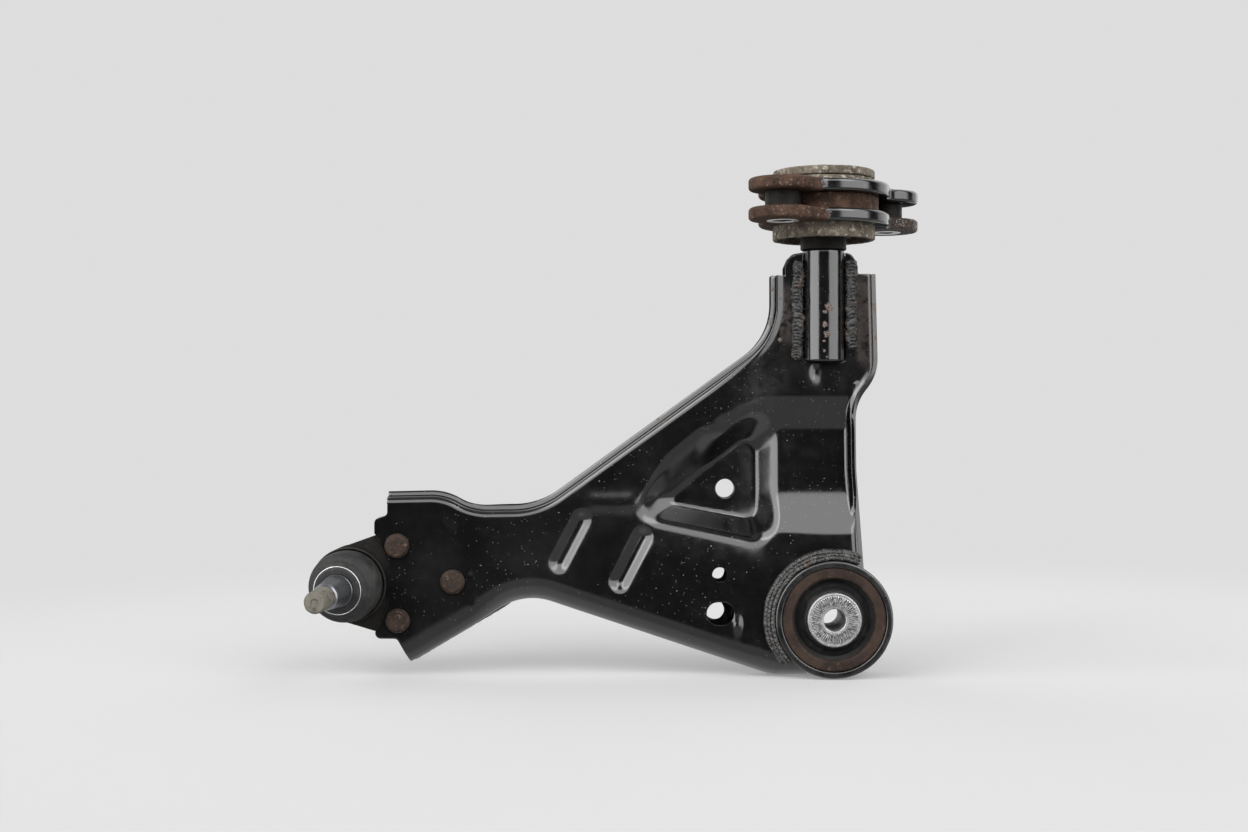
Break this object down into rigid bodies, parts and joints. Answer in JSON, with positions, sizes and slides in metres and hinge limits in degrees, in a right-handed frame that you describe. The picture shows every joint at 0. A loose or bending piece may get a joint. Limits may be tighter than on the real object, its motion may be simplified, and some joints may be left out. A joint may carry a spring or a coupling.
{
  "type": "control arm",
  "caption": "Pressed-steel suspension control arm with a riveted ball joint, a ring bush and a pin bush carrying a two-bolt bracket.",
  "frame": {"origin": "centre of the ring bush bore, halfway along its inner sleeve", "axes": "+X along the arm away from the ball joint, +Z from the ring bush towards the pin bush, and the ball stud points along -Y"},
  "size_m": [0.3957, 0.1315, 0.3287],
  "materials": {
    "coated_steel": "glossy black coating with dust and small rust chips",
    "weld_steel": "glossy black coating over rippled weld beads",
    "dusty_steel": "dull black coating with brown dust",
    "rivet_steel": "brown rust worn through black coating",
    "stud_steel": "turned steel, worn tan thread",
    "boot_rubber": "matte",
    "bush_rubber": "matte",
    "seat_plastic": "natural white",
    "ring_steel": "dull black with a bright rim",
    "brown_sleeve": "brown film of rust",
    "bright_sleeve": "bright face with fine radial teeth",
    "bracket_paint": "glossy black, rusted brown over one side",
    "spacer_steel": "dull tube with bright ends",
    "rusty_band": "flaky brown rust",
    "rough_collar": "tan grey corroded surface"
  },
  "bodies": {
    "arm": {"arm_front_shell": "coated_steel", "arm_rear_shell": "coated_steel", "bush_housing_ring": "coated_steel", "bush_ring_weld": "weld_steel", "shell_seam_weld": "weld_steel", "pivot_pin": "coated_steel", "pin_weld_left": "weld_steel", "pin_weld_right": "weld_steel", "rear_bush_inner_sleeve": "dusty_steel", "rear_bush_washer": "rough_collar", "ball_joint_housing": "dusty_steel", "ball_joint_seat": "seat_plastic", "ball_joint_cover": "dusty_steel", "ball_joint_rivets": "rivet_steel", "boot_lower_ring": "ring_steel", "front_bush_outer_sleeve": "brown_sleeve", "rear_bush_rubber": "bush_rubber"},
    "boot": {"ball_boot": "boot_rubber"},
    "boot_ring": {"boot_upper_ring": "ring_steel"},
    "stud": {"ball_stud": "stud_steel"},
    "ring_rubber": {"front_bush_rubber": "bush_rubber"},
    "ring_sleeve": {"front_bush_inner_sleeve": "bright_sleeve"},
    "bracket": {"bracket_upper_plate": "bracket_paint", "bracket_lower_plate": "bracket_paint", "bracket_spacer_left": "spacer_steel", "bracket_spacer_right": "spacer_steel", "bracket_centre_band": "rusty_band", "rear_bush_outer_sleeve": "rough_collar"}
  },
  "joints": [
    {"name": "ball_swing_side", "type": "hinge", "parent": "arm", "child": "boot", "pos_m": [-0.31, 0.002, 0.0216], "axis": [0, 0, 1], "range_deg": [-7.5, 22.5], "deforming": ["ball_boot"]},
    {"name": "ball_swing_up", "type": "hinge", "parent": "boot", "child": "boot_ring", "pos_m": [-0.31, 0.002, 0.0216], "axis": [1, 0, 0], "range_deg": [-18.5, 11.5]},
    {"name": "stud_spin", "type": "hinge", "parent": "boot_ring", "child": "stud", "pos_m": [-0.31, 0.002, 0.0216], "axis": [-0.1313, -0.9895, -0.06], "continuous": true},
    {"name": "ring_bush_swing", "type": "hinge", "parent": "arm", "child": "ring_rubber", "pos_m": [0, 0, 0], "axis": [0, 0, 1], "range_deg": [-12, 12], "stiffness_Nm_per_rad": 120, "deforming": ["front_bush_rubber"]},
    {"name": "ring_bush_twist", "type": "hinge", "parent": "ring_rubber", "child": "ring_sleeve", "pos_m": [0, 0, 0], "axis": [0, -1, 0], "range_deg": [-12, 12], "stiffness_Nm_per_rad": 60},
    {"name": "bracket_turn", "type": "hinge", "parent": "arm", "child": "bracket", "pos_m": [-0.005, -0.004, 0.265], "axis": [0, 0, 1], "range_deg": [-15, 15], "stiffness_Nm_per_rad": 60}
  ]
}
